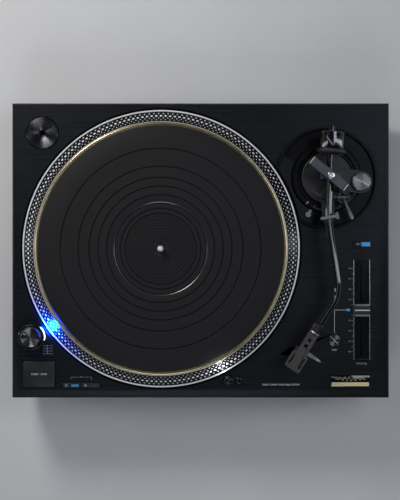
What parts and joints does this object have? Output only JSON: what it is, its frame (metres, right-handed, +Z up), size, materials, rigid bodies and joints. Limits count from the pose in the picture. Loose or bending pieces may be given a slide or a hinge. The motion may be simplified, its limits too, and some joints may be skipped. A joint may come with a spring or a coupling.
{
  "type": "turntable record player",
  "caption": "Direct-drive record player: layered plinth on isolating feet, dotted platter with rubber mat, S-shaped tonearm with dials, pitch slider and push buttons.",
  "frame": {"origin": "on the table under the middle of the plinth", "axes": "+X towards the tonearm side, +Y towards the back with the sockets, +Z up"},
  "size_m": [0.453, 0.354, 0.163],
  "materials": {
    "deck_aluminium": "black anodised, finely brushed from side to side",
    "cabinet_paint": "satin black paint on cast aluminium",
    "button_black": "black with a fine horizontal grain",
    "moulded_black": "moulded black, fine grain",
    "dense_rubber": "matt black",
    "mat_rubber": "matt black with turned ribs",
    "platter_alloy": "black anodised with polished dots and polished rim",
    "turned_aluminium": "turned, with fine rings",
    "gloss_black": "gloss black lacquer",
    "steel": "satin",
    "brass": "satin brass",
    "coil_copper": "enamelled copper wire",
    "circuit_board": "green solder mask",
    "clear_lens": "clear, lit from inside",
    "blue_lamp": "lit blue"
  },
  "bodies": {
    "plinth": {"top_panel": "deck_aluminium", "cabinet": "cabinet_paint", "chassis_layer": "moulded_black", "bottom_base": "dense_rubber", "strobe_housing": "turned_aluminium", "strobe_lens": "clear_lens", "pitch_slot_plate": "gloss_black", "pitch_potentiometer": "moulded_black", "edition_plate": "brass", "pitch_centre_led": "blue_lamp", "pitch_range_led": "blue_lamp", "motor_base": "steel", "stator_coils": "coil_copper", "control_board": "circuit_board", "power_board": "circuit_board", "terminal_panel": "cabinet_paint", "ac_inlet": "moulded_black", "phono_jack_left": "brass", "phono_jack_right": "brass", "arm_base_ring": "deck_aluminium"},
    "platter_assembly": {"platter": "platter_alloy", "brass_plate": "brass", "platter_mat": "mat_rubber", "platter_damper": "dense_rubber", "spindle": "steel", "rotor_upper": "steel", "rotor_lower": "steel"},
    "height_dial": {"height_dial": "deck_aluminium"},
    "arm_platform": {"arm_platform": "cabinet_paint", "arm_rest": "moulded_black", "gimbal_bridge": "deck_aluminium", "pivot_screw": "steel"},
    "height_lock": {"height_lock_lever": "steel"},
    "anti_skate_dial": {"anti_skate_dial": "turned_aluminium"},
    "cue_lever": {"cue_lever": "turned_aluminium"},
    "cue_lift": {"cue_lift": "steel"},
    "arm_clip": {"arm_clip": "steel"},
    "gimbal": {"gimbal_ring": "deck_aluminium"},
    "tonearm": {"arm_tube": "gloss_black"},
    "counterweight": {"counterweight": "steel"},
    "weight_dial": {"weight_dial": "cabinet_paint"},
    "lock_collar": {"lock_collar": "deck_aluminium"},
    "headshell": {"headshell": "cabinet_paint", "finger_lift": "cabinet_paint", "cartridge": "moulded_black"},
    "adaptor": {"adaptor_45": "turned_aluminium"},
    "start_stop": {"start_stop_button": "button_black"},
    "speed_33": {"speed_33_button": "button_black"},
    "speed_45": {"speed_45_button": "button_black"},
    "reset": {"reset_button": "turned_aluminium"},
    "pitch_range": {"pitch_range_button": "steel"},
    "lamp": {"target_lamp": "turned_aluminium"},
    "lamp_button": {"target_lamp_button": "button_black"},
    "power_knob": {"power_knob": "turned_aluminium"},
    "fader": {"pitch_fader_knob": "turned_aluminium"},
    "earth_screw": {"ground_terminal": "brass"},
    "foot_front_left": {"foot_front_left": "dense_rubber"},
    "foot_front_right": {"foot_front_right": "dense_rubber"},
    "foot_rear_left": {"foot_rear_left": "dense_rubber"},
    "foot_rear_right": {"foot_rear_right": "dense_rubber"}
  },
  "joints": [
    {"name": "platter_spin", "type": "hinge", "parent": "plinth", "child": "platter_assembly", "pos_m": [-0.0473, 0.0022, 0.1], "axis": [0, 0, -1], "continuous": true},
    {"name": "arm_height", "type": "slide", "parent": "plinth", "child": "arm_platform", "axis": [0, 0, 1], "range_m": [0, 0.006]},
    {"name": "height_dial_turn", "type": "hinge", "parent": "plinth", "child": "height_dial", "pos_m": [0.1505, 0.0866, 0.11], "axis": [0, 0, 1], "range_deg": [0, 150]},
    {"name": "height_lock_turn", "type": "hinge", "parent": "plinth", "child": "height_lock", "pos_m": [0.12816, 0.04276, 0.115], "axis": [0, 0, 1], "range_deg": [0, 50]},
    {"name": "arm_yaw", "type": "hinge", "parent": "arm_platform", "child": "gimbal", "pos_m": [0.1505, 0.0866, 0.146], "axis": [0, 0, 1], "range_deg": [-44, 0]},
    {"name": "arm_tilt", "type": "hinge", "parent": "gimbal", "child": "tonearm", "pos_m": [0.1505, 0.0866, 0.146], "axis": [-0.9986, 0.0523, 0], "range_deg": [-0.4, 6]},
    {"name": "weight_travel", "type": "slide", "parent": "tonearm", "child": "counterweight", "axis": [0.0523, 0.9986, 0], "range_m": [-0.004, 0.004]},
    {"name": "weight_dial_turn", "type": "hinge", "parent": "counterweight", "child": "weight_dial", "pos_m": [0.1505, 0.0866, 0.146], "axis": [0.0523, 0.9986, 0], "range_deg": [-580, 580]},
    {"name": "collar_turn", "type": "hinge", "parent": "tonearm", "child": "lock_collar", "pos_m": [0.13178, -0.09688, 0.146], "axis": [-0.5344, -0.8453, 0], "range_deg": [0, 60]},
    {"name": "headshell_pull", "type": "slide", "parent": "tonearm", "child": "headshell", "axis": [-0.5344, -0.8453, 0], "range_m": [0, 0.015]},
    {"name": "anti_skate_turn", "type": "hinge", "parent": "arm_platform", "child": "anti_skate_dial", "pos_m": [0.1902, 0.0814, 0.125], "axis": [0, 0, 1], "range_deg": [0, 270]},
    {"name": "cue_lever_turn", "type": "hinge", "parent": "arm_platform", "child": "cue_lever", "pos_m": [0.1505, 0.0631, 0.1262], "axis": [-1, 0, 0], "range_deg": [0, 70]},
    {"name": "cue_lift_travel", "type": "slide", "parent": "arm_platform", "child": "cue_lift", "axis": [0, 0, 1], "range_m": [0, 0.0025]},
    {"name": "clip_swing", "type": "hinge", "parent": "arm_platform", "child": "arm_clip", "pos_m": [0.15758, 0.04014, 0.158], "axis": [-0.1736, 0.9848, 0], "range_deg": [0, 115]},
    {"name": "adaptor_lift", "type": "slide", "parent": "plinth", "child": "adaptor", "axis": [0, 0, 1], "range_m": [0, 0.02]},
    {"name": "start_stop_press", "type": "slide", "parent": "plinth", "child": "start_stop", "axis": [0, 0, -1], "range_m": [0, 0.0015], "stiffness_N_per_m": 900, "springref_m": -0.0008},
    {"name": "speed_33_press", "type": "slide", "parent": "plinth", "child": "speed_33", "axis": [0, 0, -1], "range_m": [0, 0.001], "stiffness_N_per_m": 500, "springref_m": -0.0008},
    {"name": "speed_45_press", "type": "slide", "parent": "plinth", "child": "speed_45", "axis": [0, 0, -1], "range_m": [0, 0.001], "stiffness_N_per_m": 500, "springref_m": -0.0008},
    {"name": "reset_press", "type": "slide", "parent": "plinth", "child": "reset", "axis": [0, 0, -1], "range_m": [0, 0.001], "stiffness_N_per_m": 500, "springref_m": -0.0008},
    {"name": "pitch_range_press", "type": "slide", "parent": "plinth", "child": "pitch_range", "axis": [0, 0, -1], "range_m": [0, 0.001], "stiffness_N_per_m": 400, "springref_m": -0.0008},
    {"name": "lamp_button_press", "type": "slide", "parent": "plinth", "child": "lamp_button", "axis": [0, 0, -1], "range_m": [0, 0.0015], "stiffness_N_per_m": 400, "springref_m": -0.0008},
    {"name": "lamp_stow", "type": "slide", "parent": "plinth", "child": "lamp", "axis": [0, 0, -1], "range_m": [0, 0.0125], "stiffness_N_per_m": 30, "springref_m": -0.012},
    {"name": "power_turn", "type": "hinge", "parent": "plinth", "child": "power_knob", "pos_m": [-0.2015, -0.103, 0.12], "axis": [0, 0, 1], "range_deg": [0, 45]},
    {"name": "pitch_slide", "type": "slide", "parent": "plinth", "child": "fader", "axis": [0, 1, 0], "range_m": [-0.05, 0.05]},
    {"name": "earth_screw_turn", "type": "hinge", "parent": "plinth", "child": "earth_screw", "pos_m": [0.174, 0.166, 0.078], "axis": [0, 1, 0], "range_deg": [0, 360]},
    {"name": "foot_front_left_adjust", "type": "slide", "parent": "plinth", "child": "foot_front_left", "axis": [0, 0, -1], "range_m": [0, 0.008]},
    {"name": "foot_front_right_adjust", "type": "slide", "parent": "plinth", "child": "foot_front_right", "axis": [0, 0, -1], "range_m": [0, 0.008]},
    {"name": "foot_rear_left_adjust", "type": "slide", "parent": "plinth", "child": "foot_rear_left", "axis": [0, 0, -1], "range_m": [0, 0.008]},
    {"name": "foot_rear_right_adjust", "type": "slide", "parent": "plinth", "child": "foot_rear_right", "axis": [0, 0, -1], "range_m": [0, 0.008]}
  ],
  "couplings": [
    {"joint": "height_dial_turn", "follows": "arm_height", "rad_per_m": 436.33},
    {"joint": "weight_dial_turn", "follows": "weight_travel", "rad_per_m": 2513.3},
    {"joint": "cue_lever_turn", "follows": "cue_lift_travel", "rad_per_m": 488.69}
  ]
}
